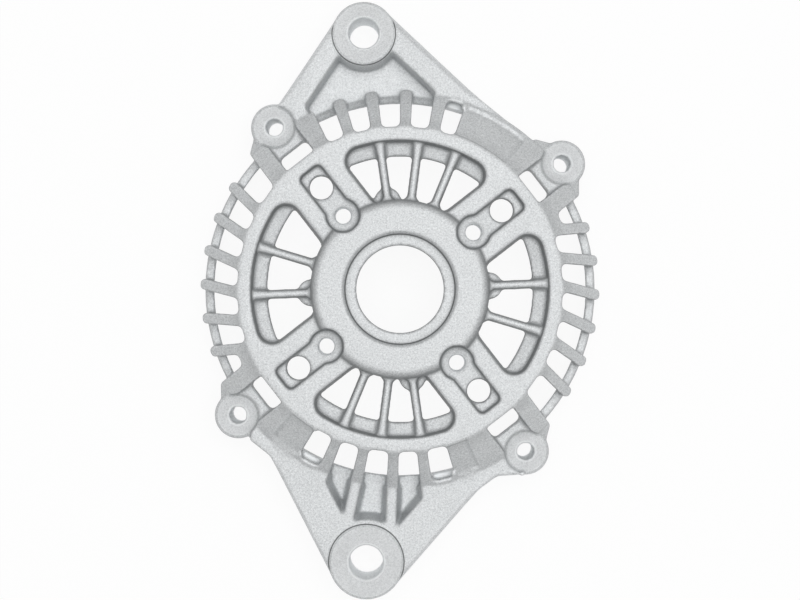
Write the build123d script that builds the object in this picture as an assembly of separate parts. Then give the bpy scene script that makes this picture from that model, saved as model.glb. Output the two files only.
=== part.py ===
"""Alternator drive end bracket: one pressure die casting in aluminium.

It lies on the face that meets the stator. Z points out of the pulley side, the origin is on the
rotor axis in the plane of the stator face, and every size is in millimetres. Angles are in degrees
round the rotor axis, from +X towards +Y.
"""
import os
from math import asin, atan2, cos, degrees, radians, sin, sqrt, tan

from build123d import *

# How far cutters run past the casting, and how far they reach into what they touch
clearance = 5.0
overlap = 0.1

# Bell: rim, cone and front ring
rim_radius = 70.0
rim_wall = 4.0
rim_bore_spread = 0.75
rim_top = 11.0
scallop_depth = 0.9
scallop_foot = 3.0
register_step = 1.4
register_depth = 2.5
cone_foot = 22.0
ring_face = 34.5
ring_outer_radius = 56.2
ring_land = 0.6
plate_thickness = 8.0
wall_thickness = 6.0

# Hub and bearing seat
hub_face = 37.5
hub_radius = 31.0
hub_edge = 2.7
shaft_hole_radius = 15.1
front_recess_radius = 18.9
front_recess_depth = 1.8
front_recess_draft = 0.9
bearing_radius = 23.5
bearing_width = 14.0
lip_thickness = 3.0
housing_wall = 6.0

# Spokes and windows
spoke_angle = 37.8
spoke_count = 4
spoke_half_width = 10.9
ring_width = 4.6
window_draft = 7.0
window_run = 2.0
window_throat_step = 5.4
window_shelf_drop = 5.0
window_shelf_fall = 1.0
window_inner_corner = 3.4
window_outer_corner = 4.1

# Guard bars across the windows
bar_drop = 2.6
bar_depth = 5.0
bar_top_width = 2.2
bar_foot_width = 3.4
bar_gusset = 1.4
side_bar_offset = 9.5
middle_bar_pitch = 15.2
bar_flare_inner = 4.4
bar_flare_outer = 5.6
bar_flare_draft = 22.0
bar_flare_drop = 0.4
bar_flare_reach = 0.5
bar_pad_radius = 4.6
bar_pad_drop = 5.2

# Keyhole pockets with the retainer screw holes
pocket_depth = 4.0
pocket_circle_radius = 5.55
pocket_half_width = 4.25
pocket_end_wall = 4.8
pocket_draft = 6.0
pocket_corner = 1.7
pocket_waist = 1.6
screw_circle_step = 8.8
screw_hole_radius = 2.8
screw_sink_width = 1.0
screw_sink_depth = 0.4
screw_lobe_radius = 6.2
vent_hole_radius = 4.1
vent_inset = 11.6

# Ribs and slots round the cone
rib_pitch = 10.0
rib_width = 3.8
rib_lean = 3.0
rib_end_chamfer = 1.0
rib_knob_radius = 1.7
web_fall = 1.6
side_rib_count = 6
right_rib_start = -31.8
left_rib_start = 148.2
slot_corner = 1.8
short_slot_corner = 2.2
corner_share = 0.48
short_slot_floor = 17.0
narrow_slot_corner = 2.4
narrow_slot_setback = 4.4
slot_reach = 6.0
cone_web_drop = 1.2

# Bridges and through bolts
bridge_half_width = 12.6
bridge_slot_half_width = 5.95
bridge_slot_share = 0.413
bridge_slot_corner = 1.7
bridge_shelf = 21.8
bridge_floor_back = 15.0
bridge_floor_inset = 2.0
bridge_floor_lap = 1.0
bolt_circle_step = 2.0
bolt_hole_radius = 3.05
bolt_boss_radius = 8.3
bolt_boss_face = 20.5
bolt_boss_edge = 0.9
cheek_spread = 10.3
cheek_edge = 1.0
cheek_shoulder = 6.6
cheek_reach = 3.8
cheek_drop = 0.5

# Ears
ear_top = 22.6
ear_foot = 2.0
ear_lap = 1.5
ear_boss_back = 1.0
ear_boss_edge = 0.7
ear_hole_chamfer = 0.8
upper_ear_x = -12.7
upper_ear_y = 89.7
upper_ear_radius = 11.1
upper_ear_hole_radius = 5.25
upper_ear_face = 23.2
upper_left_arm = 8.1
upper_right_arm = 8.9
upper_boss_gap = 0.6
lower_ear_x = -11.8
lower_ear_y = -95.5
lower_ear_radius = 13.15
lower_ear_hole_radius = 6.0
lower_ear_face = 23.4
lower_left_arm = 13.2
lower_right_arm = 13.0
lower_boss_gap = 1.8
recess_corner = 2.4
upper_recess_draft = 1.5
lower_recess_draft = 6.0
foot_corner = 2.0
flank_corner = 5.0

# Where the outlines of the ears leave the bell: distance outside the rim, and angle
upper_left_foot = (7.3, 123.9)
upper_right_foot = (2.4, 67.2)
upper_right_flank = (-0.4, 49.1)
lower_left_foot = (4.1, 232.1)
lower_left_flank = (4.6, 225.0)
lower_left_root_angle = 220.0
lower_right_foot = (5.5, 291.4)
lower_right_flank = (3.8, 297.5)
lower_right_tip = (8.5, 304.2)
lower_right_root_angle = 306.0

# Slots above and below: start and end angle, and how far short of the rim's edge they stop
top_slots = [
    (70.5, 76.0, 1.4),
    (80.0, 86.3, 0),
    (90.0, 96.5, 0),
    (100.3, 106.3, 0),
    (110.0, 116.0, 0),
]
bottom_slots = [
    (238.7, 245.5, 1.6),
    (249.0, 255.5, 0),
    (259.0, 266.0, 0),
    (269.5, 276.0, 0),
    (279.5, 286.5, 1.6),
]
web_spans = [(50.0, 70.5), (229.0, 238.7), (286.5, 294.0)]
pad_angles = [2.3, 98.0, 182.3, 278.0]

# Levels and sizes that follow from the ones above
rim_bore_radius = rim_radius - rim_wall
register_radius = rim_bore_radius + register_step
bolt_circle_radius = rim_radius + bolt_circle_step
window_outer_radius = ring_outer_radius - ring_width
window_throat_radius = window_outer_radius - window_throat_step
pocket_outer_radius = ring_outer_radius - pocket_end_wall
vent_circle_radius = ring_outer_radius - vent_inset
screw_circle_radius = bearing_radius + screw_circle_step
bridge_slot_width = bridge_slot_share * (rim_radius - ring_outer_radius)
cone_slope = (ring_face - cone_foot) / (rim_radius - ring_outer_radius)
hub_bevel = hub_edge * (1 - sqrt(0.5))
cone_wall = wall_thickness * sqrt(1 + cone_slope**2)
plate_back = ring_face - plate_thickness
housing_radius = bearing_radius + housing_wall
recess_floor = hub_face - front_recess_depth
seat_front = recess_floor - lip_thickness
housing_back = seat_front - bearing_width
pocket_floor = ring_face - pocket_depth
window_shelf = ring_face - window_shelf_drop
window_shelf_edge = window_shelf - window_shelf_fall
bar_top = ring_face - bar_drop
bar_back = bar_top - bar_depth
above = hub_face + clearance
below = -clearance
quarter = 360.0 / spoke_count
spokes = [spoke_angle + quarter * step for step in range(spoke_count)]
upper_ear_centre = (upper_ear_x, upper_ear_y)
lower_ear_centre = (lower_ear_x, lower_ear_y)
lower_ear_reach = sqrt(lower_ear_x**2 + lower_ear_y**2)
slot_limit = rim_radius + slot_reach


def at(radius, angle):
    """The point at a radius and an angle round the rotor axis."""
    return (radius * cos(radians(angle)), radius * sin(radians(angle)))


def beside(edge):
    """The point at a distance outside the rim and at an angle."""
    return at(rim_radius + edge[0], edge[1])


def outline(corners):
    """A closed face through corners given as (x, y) or as (x, y, corner radius)."""
    points = [corner[:2] for corner in corners]
    radii = [corner[2] if len(corner) > 2 else 0 for corner in corners]
    return make_face(FilletPolyline(*points, radius=radii, close=True))


def lift(face, bottom, top, draft=0.0):
    """A face drawn in plan, raised from one level to another, narrower at the top by a draft."""
    return extrude(Pos(0, 0, bottom) * face, top - bottom, taper=draft)


def turned(corners, sweep=360.0, start=0.0):
    """A profile of (radius, height) corners turned round the rotor axis."""
    return revolve(Rot(0, 0, start) * (Plane.XZ * outline(corners)), Axis.Z, sweep)


def stub(radius, foot, face, edge):
    """The profile of a round boss with a chamfer at its face."""
    return [(0, foot), (radius, foot), (radius, face - edge), (radius - edge, face), (0, face)]


def strip(half_width, start, end, angle, corner=0.0):
    """A flat strip that runs outwards at an angle, with its outer corners rounded."""
    corners = [
        (start, -half_width),
        (end, -half_width, corner),
        (end, half_width, corner),
        (start, half_width),
    ]
    return Rot(0, 0, angle) * outline(corners)


def sector(start, end, inner, outer, corner=0.0):
    """A ring sector in plan, with its inner corners rounded."""
    middle = (start + end) / 2
    sides = [
        Line(at(inner, start), at(outer, start)),
        ThreePointArc(at(outer, start), at(outer, middle), at(outer, end)),
        Line(at(outer, end), at(inner, end)),
        ThreePointArc(at(inner, end), at(inner, middle), at(inner, start)),
    ]
    return round_corners(make_face(sides), inner, corner)


def round_corners(face, radius, corner):
    """Round the two corners of a plan face that lie at a radius from the rotor axis."""
    face = face.face()
    near, gap = inner_edge(face, radius)
    if corner <= 0 or len(near) != 2:
        return face
    return face.fillet_2d(min(corner, corner_share * gap), near)


def inner_edge(face, radius):
    """The corners of a plan face that lie at a radius from the rotor axis, and their distance."""
    near = [v for v in face.vertices() if abs(sqrt(v.X**2 + v.Y**2) - radius) < 0.01]
    gap = (Vector(near[0]) - Vector(near[-1])).length if near else 0
    return near, gap


def cone_height(radius):
    """Height of the cone's outer surface at a radius."""
    return cone_foot + (rim_radius - radius) * cone_slope


def tangent_point(foot, centre, radius, side):
    """Where a straight line from a foot point touches a circle, on its left (1) or right (-1)."""
    run = (centre[0] - foot[0], centre[1] - foot[1])
    distance = sqrt(run[0] ** 2 + run[1] ** 2)
    direction = atan2(run[1], run[0]) + side * asin(radius / distance)
    length = sqrt(distance**2 - radius**2)
    return (foot[0] + length * cos(direction), foot[1] + length * sin(direction))


def inset_line(foot, touch, width, side):
    """A point and a direction of the line that lies a width inside the line from foot to touch."""
    run = Vector(touch[0] - foot[0], touch[1] - foot[1]).normalized()
    inward = run.rotate(Axis.Z, -90 * side)
    return Vector(*foot) + inward * width, run


def meet(line, other):
    """Where two lines in plan cross, each given as a point and a direction."""
    (p, u), (q, v) = line, other
    share = ((q.X - p.X) * v.Y - (q.Y - p.Y) * v.X) / (u.X * v.Y - u.Y * v.X)
    return (p.X + u.X * share, p.Y + u.Y * share)


def ray(angle, offset=0.0):
    """A line that runs outwards at an angle, moved sideways by an offset."""
    run = Vector(*at(1, angle))
    return run.rotate(Axis.Z, 90) * offset, run


def bell():
    """The outer form before it is hollowed: rim, cone, front ring and hub."""
    return turned(
        [
            (0, 0),
            (rim_radius, 0),
            (rim_radius, cone_foot),
            (ring_outer_radius, ring_face),
            (hub_radius, ring_face),
            (hub_radius, hub_face - hub_edge),
            (hub_radius - hub_bevel, hub_face - hub_bevel),
            (hub_radius - hub_edge, hub_face),
            (0, hub_face),
        ]
    )


def hollow():
    """What the cores leave empty: register, rim bore, cone underside, bearing seat, shaft hole."""
    bore_top = cone_height(rim_bore_radius) - cone_wall
    cone_start = rim_radius - (plate_back + cone_wall - cone_foot) / cone_slope
    return turned(
        [
            (0, below),
            (register_radius, below),
            (register_radius, register_depth),
            (rim_bore_radius + rim_bore_spread, register_depth),
            (rim_bore_radius, rim_top),
            (rim_bore_radius, bore_top),
            (cone_start, plate_back),
            (housing_radius, plate_back),
            (housing_radius, housing_back),
            (bearing_radius, housing_back),
            (bearing_radius, seat_front),
            (shaft_hole_radius, seat_front),
            (shaft_hole_radius, recess_floor),
            (front_recess_radius, recess_floor),
            (front_recess_radius + front_recess_draft, hub_face),
            (front_recess_radius + front_recess_draft, above),
            (0, above),
        ]
    )


def screw_lobe(angle):
    """Thickening of the bearing housing that carries one retainer screw."""
    x, y = at(screw_circle_radius, angle)
    lobe = Pos(x, y) * Circle(screw_lobe_radius)
    neck = strip(screw_lobe_radius, bearing_radius + housing_wall / 3, screw_circle_radius, angle)
    return lift(lobe + neck, housing_back, plate_back + pocket_depth / 4)


def bolt_boss(angle):
    """Boss outside the rim for one through bolt."""
    x, y = at(bolt_circle_radius, angle)
    return Pos(x, y, 0) * turned(stub(bolt_boss_radius, 0, bolt_boss_face, bolt_boss_edge))


def bolt_cheeks(angle):
    """Fillings between the rim and a bolt boss, which carry the slope of the cone on outwards."""
    inner = rim_radius - bolt_boss_radius
    plan = outline(
        [
            at(inner, angle - cheek_spread),
            beside((cheek_edge, angle - cheek_spread)),
            beside((cheek_reach, angle - cheek_shoulder)),
            at(bolt_circle_radius, angle),
            beside((cheek_reach, angle + cheek_shoulder)),
            beside((cheek_edge, angle + cheek_spread)),
            at(inner, angle + cheek_spread),
        ]
    )
    start = ring_outer_radius - cheek_reach
    end = bolt_circle_radius + bolt_boss_radius
    slope = [
        (start, below),
        (end, below),
        (end, cone_height(end) - cheek_drop),
        (start, cone_height(start) - cheek_drop),
    ]
    return lift(plan, 0, ring_face) & turned(slope)


def upper_feet():
    """Where the outline of the upper ear leaves the bell, left and right."""
    return beside(upper_left_foot), beside(upper_right_foot)


def lower_feet():
    """Where the outline of the lower ear leaves the bell, left and right."""
    return beside(lower_left_foot), beside(lower_right_foot)


def sink(recess, draft):
    """A recess cut down from the top of an ear, narrower at its floor by a draft."""
    return extrude(Pos(0, 0, ear_top) * recess, ear_top - rim_top, dir=(0, 0, -1), taper=draft)


def ear(plan, centre, radius, face, recess, slot_spans):
    """An ear plate raised from its plan, with its recess and slots, and the boss at its end."""
    plan = plan - Circle(rim_radius - ear_lap)
    plate = lift(plan, ear_foot, ear_top) - recess - slot_cuts(slot_spans)
    return plate + Pos(centre[0], centre[1], 0) * turned(stub(radius, ear_boss_back, face, ear_boss_edge))


def upper_ear():
    left, right = upper_feet()
    plan = outline(
        [
            at(rim_bore_radius, spokes[1]),
            (*left, foot_corner),
            tangent_point(left, upper_ear_centre, upper_ear_radius, 1),
            upper_ear_centre,
            tangent_point(right, upper_ear_centre, upper_ear_radius, -1),
            right,
            beside(upper_right_flank),
            at(ring_outer_radius, upper_right_foot[1]),
        ]
    )
    return ear(plan, upper_ear_centre, upper_ear_radius, upper_ear_face, upper_recess(), top_slots)


def lower_ear():
    left, right = lower_feet()
    plan = outline(
        [
            at(rim_bore_radius, lower_left_root_angle),
            beside(lower_left_flank),
            (*left, flank_corner),
            tangent_point(left, lower_ear_centre, lower_ear_radius, -1),
            lower_ear_centre,
            tangent_point(right, lower_ear_centre, lower_ear_radius, 1),
            (*right, flank_corner),
            (*beside(lower_right_flank), flank_corner),
            beside(lower_right_tip),
            at(rim_bore_radius, lower_right_root_angle),
            at(ring_outer_radius, bottom_slots[2][0]),
        ]
    )
    return ear(plan, lower_ear_centre, lower_ear_radius, lower_ear_face, lower_recess(), bottom_slots)


def upper_recess():
    """The web between the arms of the upper ear, open to the slots between the ribs."""
    left, right = upper_feet()
    left_touch = tangent_point(left, upper_ear_centre, upper_ear_radius, 1)
    right_touch = tangent_point(right, upper_ear_centre, upper_ear_radius, -1)
    left_edge = inset_line(left, left_touch, upper_left_arm, 1)
    right_edge = inset_line(right, right_touch, upper_right_arm, -1)
    bridge_edge = ray(spokes[1], -bridge_half_width)
    last_slot = ray(top_slots[1][0])
    start = rim_radius - slot_reach
    zone = outline(
        [
            at(start, top_slots[1][0]),
            (*meet(last_slot, right_edge), recess_corner),
            meet(left_edge, right_edge),
            (*meet(left_edge, bridge_edge), recess_corner),
            at(start, top_slots[-1][1]),
        ]
    )
    zone = zone - Pos(*upper_ear_centre) * Circle(upper_ear_radius + upper_boss_gap)
    for before, after in zip(top_slots[1:-1], top_slots[2:]):
        rib = sector(before[1], after[0], ring_outer_radius, rim_radius)
        zone = zone - round_corners(rib, rim_radius, rib_knob_radius)
    return sink(zone, upper_recess_draft)


def lower_recess():
    """The three pockets between the arms and the ribs of the lower ear."""
    left, right = lower_feet()
    left_touch = tangent_point(left, lower_ear_centre, lower_ear_radius, -1)
    right_touch = tangent_point(right, lower_ear_centre, lower_ear_radius, 1)
    left_edge = inset_line(left, left_touch, lower_left_arm, -1)
    right_edge = inset_line(right, right_touch, lower_right_arm, 1)
    first = bottom_slots[1][0]
    last = bottom_slots[3][1]
    start = rim_radius - slot_reach
    zone = outline(
        [
            at(start, first),
            (*meet(ray(first), left_edge), recess_corner),
            meet(left_edge, right_edge),
            (*meet(right_edge, ray(last)), recess_corner),
            at(start, last),
        ]
    )
    zone = zone - Pos(*lower_ear_centre) * Circle(lower_ear_radius + lower_boss_gap)
    for before, after in zip(bottom_slots[1:3], bottom_slots[2:4]):
        middle = (before[1] + after[0]) / 2
        zone = zone - strip(rib_width / 2, ring_outer_radius - slot_reach, lower_ear_reach, middle)
    return sink(zone, lower_recess_draft)


def windows():
    """The four windows between the spokes, with the shelf that narrows them towards the back."""
    bottom = plate_back - window_run
    spread = (ring_face - bottom) * tan(radians(window_draft))
    inner = hub_radius - overlap
    outer = window_outer_radius - spread
    plan = Circle(outer) - Circle(inner)
    for angle in spokes:
        plan = plan - strip(spoke_half_width + spread, 0, rim_radius, angle)
    funnel = turned(
        [
            (inner, bottom),
            (window_throat_radius, bottom),
            (window_throat_radius, window_shelf_edge),
            (window_outer_radius, window_shelf),
            (window_outer_radius + overlap, ring_face),
            (inner, ring_face),
        ]
    )
    panes = []
    for face in plan.faces():
        pane = round_corners(face, inner, window_inner_corner)
        pane = round_corners(pane, outer, window_outer_corner)
        panes.append(lift(pane, bottom, ring_face, -window_draft) & funnel)
    return panes


def bar_angles():
    """Where the guard bars stand: three in the upper and lower window, two in each side window."""
    angles = []
    for number, spoke in enumerate(spokes):
        middle = spoke + quarter / 2
        if number % 2 == 0:
            angles += [middle - middle_bar_pitch, middle, middle + middle_bar_pitch]
        else:
            angles += [middle - side_bar_offset, middle + side_bar_offset]
    return angles


def guard_bar(angle):
    """One drafted bar from the hub to the ring, with a wider root at the hub and on the shelf."""
    half = bar_foot_width / 2
    start = hub_radius - bar_gusset
    end = window_outer_radius + bar_gusset
    bar = outline(
        [
            (start, -half - bar_gusset),
            (hub_radius, -half - bar_gusset),
            (hub_radius + bar_gusset, -half),
            (end, -half),
            (end, half),
            (hub_radius + bar_gusset, half),
            (hub_radius, half + bar_gusset),
            (start, half + bar_gusset),
        ]
    )
    draft = degrees(atan2(half - bar_top_width / 2, bar_depth))
    root = outline(
        [
            (window_throat_radius - bar_flare_reach, -bar_flare_inner / 2),
            (end, -bar_flare_outer / 2),
            (end, bar_flare_outer / 2),
            (window_throat_radius - bar_flare_reach, bar_flare_inner / 2),
        ]
    )
    return [
        Rot(0, 0, angle) * lift(bar, bar_back, bar_top, draft),
        Rot(0, 0, angle) * lift(root, window_shelf_edge, bar_top - bar_flare_drop, bar_flare_draft),
    ]


def hub_pad(angle):
    """A round pad at the hub under a guard bar."""
    x, y = at(hub_radius, angle)
    return lift(Pos(x, y) * Circle(bar_pad_radius), plate_back, ring_face - bar_pad_drop)


def keyhole(angle):
    """The pocket in a spoke for the head of a retainer screw, with its screw hole and vent hole."""
    round_end = Pos(screw_circle_radius, 0) * Circle(pocket_circle_radius)
    channel = strip(pocket_half_width, screw_circle_radius, pocket_outer_radius, 0, pocket_corner)
    plan = (round_end + channel).face()
    middle = (screw_circle_radius + pocket_outer_radius) / 2
    waist = [v for v in plan.vertices() if v.X < middle]
    pocket = lift(plan.fillet_2d(pocket_waist, waist), pocket_floor, above, -pocket_draft)
    screw = Pos(screw_circle_radius, 0, 0) * Cylinder(screw_hole_radius, 4 * above)
    wide = screw_hole_radius + 2 * screw_sink_width
    bevel = Pos(screw_circle_radius, 0, pocket_floor) * Cone(screw_hole_radius, wide, 2 * screw_sink_depth)
    vent = Pos(vent_circle_radius, 0, 0) * Cylinder(vent_hole_radius, 4 * above)
    return [Rot(0, 0, angle) * cut for cut in (pocket, screw, bevel, vent)]


def leaning_rib(angle):
    """A rib of the sides in plan: it leans, and its outer end is chamfered to a blunt knob."""
    foot = Vector(*at(ring_outer_radius, angle + rib_lean))
    knob = Vector(*at(rim_radius, angle))
    length = (knob - foot).length
    lean = degrees(atan2(knob.Y - foot.Y, knob.X - foot.X))
    half = rib_width / 2
    narrow = half - rib_end_chamfer
    neck = length - rib_end_chamfer
    plan = outline(
        [
            (-slot_reach, -half),
            (neck, -half),
            (neck + rib_end_chamfer, -narrow),
            (length + 2 * slot_reach, -narrow),
            (length + 2 * slot_reach, narrow),
            (neck + rib_end_chamfer, narrow),
            (neck, half),
            (-slot_reach, half),
        ]
    )
    return Pos(foot.X, foot.Y) * Rot(0, 0, lean) * plan


def side_slots(middle, first_rib):
    """Plans of the slots between the leaning ribs of one side."""
    wedge = sector(middle - quarter / 2, middle + quarter / 2, ring_outer_radius, slot_limit)
    for angle in spokes:
        wedge = wedge - strip(bridge_half_width, 0, slot_limit + slot_reach, angle)
    for step in range(side_rib_count):
        wedge = wedge - leaning_rib(first_rib + rib_pitch * step)
    plans = []
    for face in wedge.faces():
        start = ring_outer_radius
        corner = slot_corner
        if inner_edge(face, start)[1] < 2 * slot_corner:
            start += narrow_slot_setback
            corner = narrow_slot_corner
        plans.append(round_corners(face - Circle(start), start, corner))
    return plans


def slots():
    """Every opening between ribs, cut down to the top of the rim, and the scallops of the rim."""
    sides = side_slots(spokes[3] + quarter / 2 - 360, right_rib_start)
    sides += side_slots(spokes[1] + quarter / 2, left_rib_start)
    plan = Sketch() + sides
    edge = Circle(slot_limit + slot_reach) - Circle(rim_radius - scallop_depth)
    upper = [slot_plan(*span) for span in top_slots]
    start = rim_bore_radius - web_fall
    low = rim_top - web_fall
    fall = [(start, above), (start, low), (rim_bore_radius, low), (rim_radius, rim_top), (rim_radius, above)]
    return [
        [lift(plan, rim_top, above)] + slot_cuts(top_slots) + slot_cuts(bottom_slots),
        lift(plan & edge, scallop_foot, above),
        lift(Sketch() + upper[1:], scallop_foot, above) & turned(fall),
    ]


def slot_cuts(spans):
    """The radial slots above or below the hub, those that stop short less deep."""
    cuts = []
    for start, end, short in spans:
        cuts.append(lift(slot_plan(start, end, short), short_slot_floor if short else rim_top, above))
    return cuts


def slot_plan(start, end, short):
    """Plan of a radial slot that stops short of the rim's edge."""
    plan = sector(start, end, ring_outer_radius, rim_radius - short, slot_corner)
    return round_corners(plan, rim_radius - short, short_slot_corner if short else 0)


def cone_webs():
    """Cutters that set the plain stretches of the cone a little below the ribs and bridges."""
    start = ring_outer_radius + ring_land
    end = rim_radius - (cone_web_drop + ear_top - cone_foot) / cone_slope
    profile = [(start, above), (start, cone_height(start) - cone_web_drop), (end, ear_top), (end, above)]
    return [turned(profile, stop - begin, begin) for begin, stop in web_spans]


def bridge_cuts(angle):
    """The slot beside the ring, the shelf from it to the bolt boss, the spot face and the bolt hole."""
    shelf = strip(bridge_slot_half_width, ring_outer_radius, bolt_circle_radius, 0)
    corner = min(bridge_slot_corner, corner_share * bridge_slot_width)
    slot_end = ring_outer_radius + bridge_slot_width
    slot = outline(
        [
            (ring_outer_radius, -bridge_slot_half_width, corner),
            (slot_end, -bridge_slot_half_width, corner),
            (slot_end, bridge_slot_half_width, corner),
            (ring_outer_radius, bridge_slot_half_width, corner),
        ]
    )
    spot = Pos(bolt_circle_radius, 0) * Circle(bolt_boss_radius - bolt_boss_edge)
    cuts = [
        lift(shelf, bridge_shelf, above),
        lift(slot, rim_top / 2, above),
        lift(spot, bolt_boss_face, above),
        Pos(bolt_circle_radius, 0, 0) * Cylinder(bolt_hole_radius, 4 * above),
    ]
    return [Rot(0, 0, angle) * cut for cut in cuts]


def bridge_floor(angle):
    """Thickening under the shelf, between the cone and the bolt boss."""
    half_width = bridge_half_width - bridge_floor_inset
    start = ring_outer_radius + bridge_floor_lap
    plan = strip(half_width, start, rim_bore_radius + bridge_floor_lap, angle)
    return lift(plan, bridge_floor_back, bridge_shelf + bridge_floor_lap)


def ear_hole(centre, radius, face):
    """A through hole of an ear with a chamfer at the front."""
    bevel = Cone(radius - ear_hole_chamfer, radius + ear_hole_chamfer, 2 * ear_hole_chamfer)
    hole = Pos(centre[0], centre[1], 0) * Cylinder(radius, 4 * above)
    return [hole, Pos(centre[0], centre[1], face) * bevel]


def drive_end_bracket():
    """The whole casting."""
    bars = []
    for angle in bar_angles():
        bars += guard_bar(angle)
    pockets = []
    for angle in spokes:
        pockets += keyhole(angle) + bridge_cuts(angle)
    holes = ear_hole(upper_ear_centre, upper_ear_hole_radius, upper_ear_face)
    holes += ear_hole(lower_ear_centre, lower_ear_hole_radius, lower_ear_face)
    body = bell() + [bolt_boss(angle) for angle in spokes]
    body = body + [bolt_cheeks(angle) for angle in spokes]
    body = body - hollow()
    for cutter in slots():
        body = body - cutter
    body = body - cone_webs() - windows()
    body = body + [screw_lobe(angle) for angle in spokes]
    body = body + [bridge_floor(angle) for angle in spokes]
    body = body + upper_ear() + lower_ear()
    body = body - upper_recess()
    body = body + bars + [hub_pad(angle) for angle in pad_angles]
    return body - pockets - holes


def main():
    os.makedirs("parts", exist_ok=True)
    export_step(drive_end_bracket(), "parts/drive_end_bracket.step")


if __name__ == "__main__":
    main()
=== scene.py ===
"""The drive end bracket of an alternator: a blasted aluminium casting on a white studio floor."""
import math

import bpy
import numpy as np
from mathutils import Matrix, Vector


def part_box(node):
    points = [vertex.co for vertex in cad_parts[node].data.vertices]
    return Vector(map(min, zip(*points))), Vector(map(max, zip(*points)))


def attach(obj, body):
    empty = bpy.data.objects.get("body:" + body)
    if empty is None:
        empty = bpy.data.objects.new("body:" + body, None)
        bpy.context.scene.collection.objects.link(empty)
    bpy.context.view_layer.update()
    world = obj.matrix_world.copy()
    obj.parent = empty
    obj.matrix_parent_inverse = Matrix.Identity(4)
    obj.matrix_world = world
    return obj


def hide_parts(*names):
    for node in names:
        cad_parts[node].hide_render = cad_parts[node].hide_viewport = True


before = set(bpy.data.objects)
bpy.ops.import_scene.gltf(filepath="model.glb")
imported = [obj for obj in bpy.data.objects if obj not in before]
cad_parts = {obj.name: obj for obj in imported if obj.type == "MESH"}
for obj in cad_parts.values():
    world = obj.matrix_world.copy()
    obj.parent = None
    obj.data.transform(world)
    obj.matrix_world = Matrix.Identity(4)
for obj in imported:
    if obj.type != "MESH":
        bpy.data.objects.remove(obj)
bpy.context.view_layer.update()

MM = 0.001

# The photograph's frame and viewpoint
photo_width = 800
photo_height = 600
axis_row = 289.2
pixels_per_mm = 2.9
camera_distance = 750 * MM
sensor_width = 36.0

# Studio: the floor, the lamp over the part and the grey around it
floor_size = 6.0
floor_drop = 0.2 * MM
floor_colour = (0.9, 0.9, 0.9, 1.0)
floor_glow = 1.01
shadow_share = 0.1
lamp_place = (0.11, 0.13, 1.5)
lamp_target = (0.0, 0.0, 0.03)
lamp_size = 0.9
lamp_power = 11.0
surround_colour = (0.46, 0.46, 0.46, 1.0)

# Casting mesh
voxel = 0.32 * MM
edge_round = 0.6 * MM
fillet = 0.3 * MM
triangle_limit = 190000

# Levels of the casting above the stator face
ring_face = 34.5 * MM
pocket_floor = 30.5 * MM
arm_level = 22.6 * MM
ledge_level = 17.0 * MM

# Ears: x, y and level of each boss face, with its radius, and the radii of the holes
upper_boss = (-12.7 * MM, 89.7 * MM, 23.2 * MM, 11.0 * MM)
lower_boss = (-11.8 * MM, -95.5 * MM, 23.4 * MM, 13.1 * MM)
ear_holes = (5.25 * MM, 6.0 * MM)
ear_zone = (57.5 * MM, 61.0 * MM)

# Outer flanks of the ears: boss, side, foot as distance past the rim and angle, and edge radius
rim_radius = 70.0 * MM
flanks = [
    (upper_boss, 1, (7.3 * MM, 123.9), 1.9 * MM),
    (upper_boss, -1, (2.4 * MM, 67.2), 2.6 * MM),
    (lower_boss, -1, (4.1 * MM, 232.1), 1.3 * MM),
    (lower_boss, 1, (5.5 * MM, 291.4), 1.6 * MM),
]

# Webs of the cone that run into the lower ear: first and last angle, and radii
webs = [(229.0, 238.4), (286.8, 294.0)]
web_reach = (62.0 * MM, 76.0 * MM)
web_foot = 18.5 * MM

# Ledges at the ends of the short slots: angles, distance from the axis and reach
ledge_angles = (73.25, 242.1, 283.0)
ledge_reach = (66.0 * MM, 5.2 * MM)

# Through bolts and retainer screws: circle, level and radius of the boss face, hole radii
bolt_angles = (37.8, 127.8, 217.8, 307.8)
bolt_circle = 72.0 * MM
bolt_face = (20.5 * MM, 7.6 * MM)
bolt_hole = 3.05 * MM
screw_circle = 32.3 * MM
screw_hole = 2.8 * MM
hole_mouth = (0.9 * MM, 0.5 * MM)

# Turned faces on the stator side
register_radius = 67.4 * MM
register_depth = 2.5 * MM
register_land = (64.0 * MM, 64.2 * MM)
bearing_radius = 23.5 * MM
bearing_depth = (18.7 * MM, 32.7 * MM)
tool_feed = 0.32 * MM
lathe_feed = 0.28 * MM

# Recess round the shaft hole: radius and half width of its foot, and its levels
recess_radius = 18.95 * MM
recess_line = 0.45 * MM
recess_levels = (35.5 * MM, 37.2 * MM)

# Round shoulder of the hub and the foot of the ring, where painted shade lies: radii where each
# starts and ends
hub_shoulder = (28.6 * MM, 30.8 * MM, 31.5 * MM)
ring_bore = (57.5 * MM, 55.0 * MM)
ring_foot = (61.0 * MM, 56.6 * MM)

# Blasted skin, from grain and fine grain to mottle and clouds: scale, detail and roughness
skin_noises = [(1600.0, 4.0, 0.75), (4200.0, 2.0, 0.6), (260.0, 3.0, 0.55), (30.0, 2.0, 0.5)]
light_metal = (0.945, 0.962, 0.97, 1.0)
dark_metal = (0.43, 0.445, 0.452, 1.0)
# The grey that the painted shade blends towards
painted_shade_grey = (0.11, 0.117, 0.12, 1.0)
metal_share = 0.6
bump_height = 0.16 * MM
bump_strength = 0.7

# How much each kind of place lightens the metal: painted highlight with some wear on edges, painted
# light on slot ledges, deep floors and hole mouths, machined finish with some painted light on
# milled faces, and finish alone on turned faces and tool rings
painted_light_and_finish = {
    "edge": 0.4, "ledge": 0.8, "deep": 0.22, "cut": 0.25,
    "turned": 0.2, "hole": 0.4, "rings": 0.04,
}
# How much of the painted shade the pocket floors, holes and slot ends take away
painted_shade_clearing = {"pocket": 0.7, "hole": 0.95, "slot end": 0.8}

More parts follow.
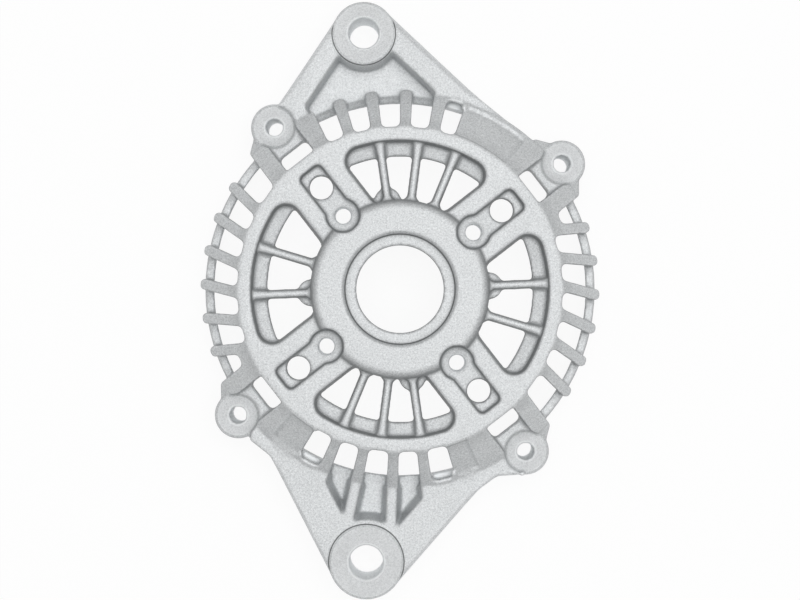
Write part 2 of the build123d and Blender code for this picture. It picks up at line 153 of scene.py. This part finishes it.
# How deep the painted shade lies on the walls, in the windows, in hollows and fine corners, on the
# hub shoulder and at the foot of the ring
wall_dark = 0.42
window_dark = 0.24
hollow_dark = 0.5
corner_dark = 0.9
shoulder_dark = 0.56
ring_foot_dark = 0.16


class Value:
    """A number that comes out of a shader node, with arithmetic that adds the next node."""

    def __init__(self, finish, socket):
        self.finish = finish
        self.socket = socket

    def _maths(self, operation, *operands):
        sockets = dict(enumerate(operands))
        node = self.finish.node("ShaderNodeMath", {"operation": operation}, sockets)
        return Value(self.finish, node.outputs[0])

    def __add__(self, other):
        return self._maths("ADD", self, other)

    __radd__ = __add__

    def __sub__(self, other):
        return self._maths("SUBTRACT", self, other)

    def __rsub__(self, other):
        return self._maths("SUBTRACT", other, self)

    def __mul__(self, other):
        return self._maths("MULTIPLY", self, other)

    __rmul__ = __mul__

    def __pow__(self, other):
        return self._maths("POWER", self, other)

    def root(self):
        return self._maths("SQRT", self)

    def size(self):
        return self._maths("ABSOLUTE", self)

    def sine(self):
        return self._maths("SINE", self)

    def smaller(self, other):
        return self._maths("MINIMUM", self, other)

    def larger(self, other):
        return self._maths("MAXIMUM", self, other)

    def ramp(self, low, high):
        """0 at low and 1 at high, with a straight line between."""
        sockets = {"Value": self, "From Min": low, "From Max": high}
        node = self.finish.node("ShaderNodeMapRange", {"clamp": True}, sockets)
        return Value(self.finish, node.outputs[0])

    def near(self, centre, outer, inner):
        """1 within inner of a centre and 0 beyond outer."""
        return (self - centre).size().ramp(outer, inner)


class Finish:
    """A material whose nodes are added one by one."""

    def __init__(self, name):
        self.material = bpy.data.materials.new(name)
        self.material.use_nodes = True
        self.tree = self.material.node_tree
        self.tree.nodes.clear()
        self.output = self.node("ShaderNodeOutputMaterial")

    def node(self, kind, settings=None, sockets=None):
        """A node of one kind: its settings first, then the values or links of its sockets."""
        node = self.tree.nodes.new(kind)
        for name, value in (settings or {}).items():
            setattr(node, name, value)
        for name, value in (sockets or {}).items():
            if isinstance(value, Value):
                value = value.socket
            if isinstance(value, bpy.types.NodeSocket):
                self.tree.links.new(value, node.inputs[name])
            else:
                node.inputs[name].default_value = value
        return node

    def place(self):
        """Object coordinates as a vector socket."""
        return self.node("ShaderNodeTexCoord").outputs["Object"]

    def axes(self, vector):
        """The three numbers of a vector."""
        split = self.node("ShaderNodeSeparateXYZ", None, {"Vector": vector})
        return [Value(self, split.outputs[index]) for index in range(3)]

    def noise(self, vector, scale, detail, roughness):
        """Noise about 0, with a scale in cells per metre."""
        sockets = {"Vector": vector, "Scale": scale, "Detail": detail, "Roughness": roughness}
        return Value(self, self.node("ShaderNodeTexNoise", None, sockets).outputs[0]) - 0.5

    def attribute(self, name):
        """A number stored on the mesh."""
        node = self.node("ShaderNodeAttribute", {"attribute_name": name})
        return Value(self, node.outputs["Fac"])

    def blend(self, factor, first, second):
        """A colour between two colours."""
        node = self.node("ShaderNodeMix", {"data_type": "RGBA"}, {0: factor, 6: first, 7: second})
        return node.outputs[2]

    def surface(self, shader):
        """The material with its last shader joined on."""
        self.tree.links.new(shader.outputs[0], self.output.inputs["Surface"])
        return self.material


def point_at(angle, distance):
    """x and y of a point at an angle in degrees and a distance from the axis."""
    turn = math.radians(angle)
    return distance * math.cos(turn), distance * math.sin(turn)


def span_squared(axes, centre=(0.0, 0.0)):
    """The distance from an upright line through a centre, squared."""
    across = axes[0] - centre[0]
    along = axes[1] - centre[1]
    return across * across + along * along


def largest(values):
    """The largest of several values."""
    total = values[0]
    for value in values[1:]:
        total = total.larger(value)
    return total


def drilled_holes(axes):
    """1 in the drilled holes and round their mouths, and 0 elsewhere."""
    holes = [(upper_boss[:2], ear_holes[0]), (lower_boss[:2], ear_holes[1])]
    for angle in bolt_angles:
        holes.append((point_at(angle, bolt_circle), bolt_hole))
        holes.append((point_at(angle, screw_circle), screw_hole))
    outer, inner = hole_mouth
    masks = []
    for centre, radius in holes:
        masks.append(span_squared(axes, centre).ramp((radius + outer) ** 2, (radius + inner) ** 2))
    return largest(masks)


def slot_ends(axes):
    """1 on the ledges and end walls of the short slots and 0 elsewhere."""
    distance, reach = ledge_reach
    masks = []
    for angle in ledge_angles:
        centre = point_at(angle, distance)
        masks.append(span_squared(axes, centre).ramp(reach**2, (reach - 1.2 * MM) ** 2))
    return largest(masks) * axes[2].ramp(arm_level - 0.6 * MM, arm_level - 1.4 * MM)


def boss_feet(axes):
    """1 in the fine corner where each ear's boss stands on its arms and 0 elsewhere."""
    above_arms = axes[2].ramp(arm_level - 0.6 * MM, arm_level - 0.3 * MM)
    masks = []
    for x, y, level, radius in (upper_boss, lower_boss):
        line = span_squared(axes, (x, y)).root().near(radius + 0.12 * MM, 0.3 * MM, 0.1 * MM)
        masks.append(line * axes[2].ramp(level - 0.25 * MM, level - 0.45 * MM) * above_arms)
    return largest(masks)


def milled_faces(axes):
    """1 on the milled faces of the bosses and 0 elsewhere, and the height of the tool's rings."""
    faces = [upper_boss, lower_boss]
    faces += [(*point_at(angle, bolt_circle), *bolt_face) for angle in bolt_angles]
    masks = []
    rings = 0.0
    for x, y, level, radius in faces:
        distance = span_squared(axes, (x, y)).root()
        mask = distance.ramp(radius + 0.1 * MM, radius - 0.1 * MM)
        mask = mask * axes[2].near(level, 0.12 * MM, 0.06 * MM)
        rings = (distance * (2 * math.pi / tool_feed)).sine() * mask + rings
        masks.append(mask)
    return largest(masks), rings


def turned_faces(axes):
    """1 on the faces that a lathe has turned and 0 elsewhere, and the height of its rings."""
    radius = span_squared(axes).root()
    base = axes[2].ramp(0.1 * MM, 0.05 * MM)
    register = radius.near(register_radius, 0.12 * MM, 0.06 * MM)
    register = register * axes[2].ramp(register_depth + 0.4 * MM, register_depth + 0.1 * MM)
    land = axes[2].near(register_depth, 0.12 * MM, 0.06 * MM) * radius.ramp(*register_land)
    bore = radius.near(bearing_radius, 0.15 * MM, 0.08 * MM)
    bore = bore * axes[2].ramp(bearing_depth[0] - 0.2 * MM, bearing_depth[0])
    bore = bore * axes[2].ramp(bearing_depth[1] + 0.2 * MM, bearing_depth[1])
    turned = largest([base, register, land, bore]).smaller(1.0)
    rings = ((radius + axes[2]) * (2 * math.pi / lathe_feed)).sine() * turned
    return turned, rings


def fine_corners(axes, crevice, ledge):
    """1 in the tightest corners of the casting, where painted shade goes, and 0 on its open faces.
    """
    foot = span_squared(axes).root().near(recess_radius, recess_line, recess_line * 0.2)
    foot = foot * axes[2].ramp(recess_levels[0] - 0.2 * MM, recess_levels[0])
    foot = foot * axes[2].ramp(recess_levels[1], recess_levels[1] - 0.3 * MM)
    return largest([crevice.ramp(0.2, 1.0) * (1 - ledge * 0.7), boss_feet(axes), foot])


def painted_shade_places(finish, axes, upright, corner, holes):
    """Painted shade at each place, from 0 to 1: on walls, in hollows, in fine corners, on the hub
    shoulder and at the feet of walls.
    """
    radius = span_squared(axes).root()
    ear = axes[1].size().ramp(*ear_zone)
    inside = radius.ramp(*ring_bore)
    recess = radius.ramp(recess_radius + 2.0 * MM, recess_radius + 1.2 * MM)
    recess = recess * axes[2].ramp(recess_levels[0] - 0.5 * MM, recess_levels[0])
    # Painted shade on steep walls, by how upright the surface stands, deeper inside the ring and
    # less in the ears, holes and shaft recess
    wall = upright.size().ramp(0.72, 0.25) * (1 - holes) * (1 - ear * 0.75)
    wall = wall * (wall_dark + inside * window_dark) * (1 - recess * 0.6)
    # Painted shade on the round shoulder of the hub
    shoulder = radius.ramp(*hub_shoulder[:2]) * radius.ramp(hub_shoulder[2], hub_shoulder[1])
    shoulder = shoulder * axes[2].ramp(ring_face - 0.2 * MM, ring_face + 0.1 * MM)
    # Painted shade in the hollows, less in the ears
    hollow = finish.attribute("hollow").ramp(0.04, 1.0) * (1 - ear * 0.7)
    # Painted shade at the foot of the ring, outside the windows
    foot = radius.ramp(*ring_foot) * (1 - inside)
    foot = foot * axes[2].ramp(ring_face - 0.2 * MM, ring_face - 0.6 * MM)
    return largest([
        corner**1.3 * corner_dark,
        wall,
        shoulder * shoulder_dark,
        hollow * hollow_dark,
        foot * ring_foot_dark,
    ])


def blasted_aluminium():
    """Aluminium as cast and blasted: a fine matt grain, with painted shade in corners, on walls and
    in hollows, and painted highlights with some wear at edges.
    """
    finish = Finish("blasted_aluminium")
    place = finish.place()
    axes = finish.axes(place)
    upright = finish.axes(finish.node("ShaderNodeNewGeometry").outputs["Normal"])[2]
    crevice = finish.attribute("crevice")
    grain, fine, mottle, clouds = [finish.noise(place, *noise) for noise in skin_noises]

    # The holes and their mouths get painted light and lose most of their painted shade
    holes = drilled_holes(axes)
    # Milled faces: machined finish, lightened partly as painted light
    cut, rings = milled_faces(axes)
    turned, lathe_rings = turned_faces(axes)
    rings = rings + lathe_rings
    rough = 1 - cut * 0.2 - turned * 0.6

    radius = span_squared(axes).root()
    # Painted light on the ledges at the ends of the short slots
    ledge = axes[2].near(ledge_level, 0.9 * MM, 0.4 * MM) * radius.ramp(63.0 * MM, 64.0 * MM)
    ledge = ledge * upright.ramp(0.5, 0.8)
    # Pocket floors, which lose most of their painted shade
    pocket = axes[2].near(pocket_floor, 0.6 * MM, 0.3 * MM) * upright.ramp(0.5, 0.85)
    # Painted light on deep upward floors, lifting them out of their shade
    deep = axes[2].ramp(18.0 * MM, 10.0 * MM) * upright.ramp(0.7, 0.9)
    # Painted highlight on convex edges with some wear: it lightens the colour and lowers the
    # roughness
    edge = (0.0 - crevice).ramp(0.1, 0.9)
    corner = fine_corners(axes, crevice, ledge)

    tone = (grain * 1.6 + fine * 1.1) * rough + mottle * 0.12 + clouds * 0.1 + 0.5
    places = {
        "edge": edge, "ledge": ledge, "deep": deep, "cut": cut,
        "turned": turned, "hole": holes, "rings": rings,
    }
    # Painted light and machined finish raise the tone
    for name, share in painted_light_and_finish.items():
        tone = tone + places[name] * share
    colour = finish.blend(tone.smaller(1.0).larger(0.0), dark_metal, light_metal)

    # Painted shade on walls, hollows and corners, partly taken away again on pocket floors, holes
    # and slot ends, then blended towards the painted-shade grey
    painted_shade = painted_shade_places(finish, axes, upright, corner, holes)
    places = {"pocket": pocket, "hole": holes, "slot end": slot_ends(axes)}
    for name, share in painted_shade_clearing.items():
        painted_shade = painted_shade * (1 - places[name] * share)
    colour = finish.blend(painted_shade, colour, painted_shade_grey)

    roughness = 0.6 + mottle * 0.12 + fine * 0.16 + corner * 0.2
    roughness = roughness - edge * 0.08 - cut * 0.06 - turned * 0.22
    height = (grain + fine * 0.5) * rough + mottle * 0.5 + rings * 0.35
    sockets = {"Height": height, "Strength": bump_strength, "Distance": bump_height}
    normal = finish.node("ShaderNodeBump", None, sockets).outputs[0]
    sockets = {"Base Color": colour, "Metallic": metal_share, "Roughness": roughness}
    sockets["Normal"] = normal
    return finish.surface(finish.node("ShaderNodeBsdfPrincipled", None, sockets))


def select_only(piece):
    """Makes one object the selected and active one."""
    bpy.ops.object.select_all(action="DESELECT")
    piece.select_set(True)
    bpy.context.view_layer.objects.active = piece


def apply_modifier(piece, kind, settings):
    """Adds a modifier, sets it and applies it."""
    modifier = piece.modifiers.new(kind.lower(), kind)
    for name, value in settings.items():
        setattr(modifier, name, value)
    select_only(piece)
    bpy.ops.object.modifier_apply(modifier=modifier.name)


def read_vectors(mesh, name):
    """The places or normals of a mesh's points, one row each."""
    values = np.empty(len(mesh.vertices) * 3, np.float32)
    mesh.vertices.foreach_get(name, values)
    return values.reshape(-1, 3)


def read_points(mesh):
    """The places of a mesh's points in full precision."""
    return read_vectors(mesh, "co").astype(float)


def write_points(mesh, points):
    """Moves a mesh's points to new places."""
    mesh.vertices.foreach_set("co", points.astype(np.float32).ravel())
    mesh.update()


def read_edges(mesh):
    """The two point numbers of each edge."""
    ends = np.empty(len(mesh.edges) * 2, np.int32)
    mesh.edges.foreach_get("vertices", ends)
    return ends.reshape(-1, 2)


def spread(values, edges, rounds):
    """Averages values over the neighbours of each point, several times."""
    count = len(values)
    links = np.bincount(edges.ravel(), minlength=count).astype(float)
    links[links == 0] = 1
    values = values.copy()
    for _ in range(rounds):
        for column in range(values.shape[1]):
            total = np.bincount(edges[:, 0], values[edges[:, 1], column], count)
            total += np.bincount(edges[:, 1], values[edges[:, 0], column], count)
            values[:, column] = 0.5 * values[:, column] + 0.5 * total / links
    return values


def soften_flanks(piece):
    """Rounds the long outer edges of the two ears, each with the radius of its flank."""
    points = read_points(piece.data)
    for boss, side, (past_rim, angle), radius in flanks:
        end = np.array(point_at(angle, rim_radius + past_rim))
        away = np.array(boss[:2]) - end
        length = math.hypot(*away)
        lean = side * math.asin(boss[3] / length)
        cosine, sine = math.cos(lean), math.sin(lean)
        along = np.array([cosine * away[0] - sine * away[1], sine * away[0] + cosine * away[1]])
        along = along / length
        across = np.array([along[1], -along[0]]) * side
        tangent = math.sqrt(length**2 - boss[3] ** 2)
        travel = (points[:, :2] - end) @ along
        depth = (points[:, :2] - end) @ across
        inside = np.clip(radius - np.clip(depth, 0, radius), 0, radius)
        drop = radius - np.sqrt(radius**2 - inside**2)
        drop[depth < 0] = radius
        span = 4.0 * radius
        share = np.clip((points[:, 2] - arm_level + span) / span, 0, 1)
        share[points[:, 2] > arm_level + 0.25 * MM] = 0
        fade = np.clip(travel / (6 * MM), 0, 1) * np.clip((tangent - travel) / (3 * MM), 0, 1)
        near = (depth > -1.5 * MM) & (depth < radius)
        points[:, 2] -= np.where(near, drop * share * fade, 0)
    write_points(piece.data, points)


def soften_webs(piece):
    """Runs the webs of the cone softly into the arms of the lower ear."""
    mesh = piece.data
    points = read_points(mesh)
    up = read_vectors(mesh, "normal")[:, 2]
    edges = read_edges(mesh)
    radius = np.hypot(points[:, 0], points[:, 1])
    angle = np.degrees(np.arctan2(points[:, 1], points[:, 0])) % 360
    near, far = web_reach
    band = (radius > near) & (radius < far) & (up > 0.45) & (points[:, 2] > web_foot)
    for start, end in webs:
        chosen = band & (angle > start) & (angle < end)
        number = np.cumsum(chosen) - 1
        inner = edges[chosen[edges].all(axis=1)]
        heights = points[chosen, 2:3]
        level = spread(heights, number[inner], 160)
        rim = np.minimum(radius[chosen] - near, far - radius[chosen]) / (3 * MM)
        side = np.minimum(angle[chosen] - start, end - angle[chosen]) / 2.5
        share = np.clip(rim, 0, 1) * np.clip(side, 0, 1) * np.clip((up[chosen] - 0.45) / 0.2, 0, 1)
        points[chosen, 2] += (level - heights)[:, 0] * share
    write_points(mesh, points)


def keep_in_box(piece):
    """Moves back what stands outside the box of the model that the casting is made from."""
    low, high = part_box("drive_end_bracket")
    write_points(piece.data, np.clip(read_points(piece.data), np.array(low), np.array(high)))


def mark_corners(piece):
    """Stores how far each point lies in a corner: 1 in a corner, 0 on a flat, -1 on an edge."""
    mesh = piece.data
    points = read_points(mesh)
    normals = read_vectors(mesh, "normal")
    edges = read_edges(mesh)
    smooth = points
    for name, rounds, full in (("crevice", 4, 0.13 * MM), ("hollow", 20, 0.42 * MM)):
        smooth = spread(smooth, edges, rounds)
        depth = np.einsum("ij,ij->i", smooth - points, normals)
        depth = np.clip(depth / full, -1, 1)
        depth = spread(depth[:, None], edges, 2)[:, 0]
        attribute = mesh.attributes.new(name, "FLOAT", "POINT")
        attribute.data.foreach_set("value", depth.astype(np.float32))


def merged_copy(source, name):
    """A copy of a node of the model with its faces joined along their edges."""
    piece = source.copy()
    piece.data = source.data.copy()
    piece.name = name
    piece.data.name = name
    bpy.context.scene.collection.objects.link(piece)
    piece.parent = None
    for key in list(piece.keys()):
        del piece[key]
    select_only(piece)
    bpy.ops.object.mode_set(mode="EDIT")
    bpy.ops.mesh.select_all(action="SELECT")
    bpy.ops.mesh.remove_doubles(threshold=0.001 * MM)
    bpy.ops.object.mode_set(mode="OBJECT")
    return piece


def bracket_casting():
    """The casting with its cast edges and corners rounded, made from a merged copy of the model."""
    piece = merged_copy(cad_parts["drive_end_bracket"], "bracket_casting")
    apply_modifier(piece, "REMESH", {"mode": "VOXEL", "voxel_size": voxel})
    for offset in (-edge_round, edge_round + fillet, -fillet):
        settings = {"direction": "NORMAL", "mid_level": 0.0, "strength": offset}
        apply_modifier(piece, "DISPLACE", settings)
        apply_modifier(piece, "REMESH", {"mode": "VOXEL", "voxel_size": voxel})
    apply_modifier(piece, "SMOOTH", {"factor": 0.5, "iterations": 2})
    soften_flanks(piece)
    soften_webs(piece)
    mark_corners(piece)
    count = sum(len(face.vertices) - 2 for face in piece.data.polygons)
    apply_modifier(piece, "DECIMATE", {"ratio": min(1.0, triangle_limit / count)})
    keep_in_box(piece)
    select_only(piece)
    bpy.ops.object.shade_smooth()
    piece.data.materials.clear()
    piece.data.materials.append(blasted_aluminium())
    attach(piece, "root")
    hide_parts("drive_end_bracket")


def studio_floor():
    """A white floor that keeps a soft shadow."""
    bpy.ops.object.select_all(action="DESELECT")
    bpy.ops.mesh.primitive_plane_add(size=floor_size, location=(0, 0, -floor_drop))
    floor = bpy.context.active_object
    floor.name = "studio_floor"
    finish = Finish("white_floor")
    rays = finish.node("ShaderNodeLightPath").outputs
    seen = Value(finish, rays["Is Camera Ray"]) + Value(finish, rays["Is Glossy Ray"])
    seen = (seen + Value(finish, rays["Is Transmission Ray"])).smaller(1.0)
    matt = finish.node("ShaderNodeBsdfDiffuse", None, {"Color": floor_colour})
    sockets = {"Color": (1.0, 1.0, 1.0, 1.0), "Strength": floor_glow}
    white = finish.node("ShaderNodeEmission", None, sockets)
    sockets = {0: seen * (1 - shadow_share), 1: matt.outputs[0], 2: white.outputs[0]}
    floor.data.materials.append(finish.surface(finish.node("ShaderNodeMixShader", None, sockets)))


def studio_light():
    """One large soft lamp over the part, a little towards its top, and a pale grey surround."""
    lamp = bpy.data.lights.new("overhead_lamp", "AREA")
    lamp.shape = "SQUARE"
    lamp.size = lamp_size
    lamp.energy = lamp_power
    holder = bpy.data.objects.new("overhead_lamp", lamp)
    holder.location = lamp_place
    facing = Vector(lamp_target) - Vector(lamp_place)
    holder.rotation_euler = facing.to_track_quat("-Z", "Y").to_euler()
    bpy.context.scene.collection.objects.link(holder)
    world = bpy.data.worlds.new("surround")
    world.use_nodes = True
    background = world.node_tree.nodes["Background"]
    background.inputs["Color"].default_value = surround_colour
    background.inputs["Strength"].default_value = 1.0
    bpy.context.scene.world = world


def photo_camera():
    """The camera of the photograph: over the pulley side, looking straight down the rotor axis."""
    camera = bpy.data.cameras.new("photo_camera")
    camera.sensor_width = sensor_width
    camera.lens = pixels_per_mm / MM * camera_distance / photo_width * sensor_width
    holder = bpy.data.objects.new("photo_camera", camera)
    drop = (photo_height / 2 - axis_row) / pixels_per_mm * MM
    holder.location = (0.0, -drop, ring_face + camera_distance)
    bpy.context.scene.collection.objects.link(holder)
    bpy.context.scene.camera = holder


photo_camera()
studio_light()
studio_floor()
bracket_casting()
bpy.context.scene.view_settings.view_transform = "Standard"
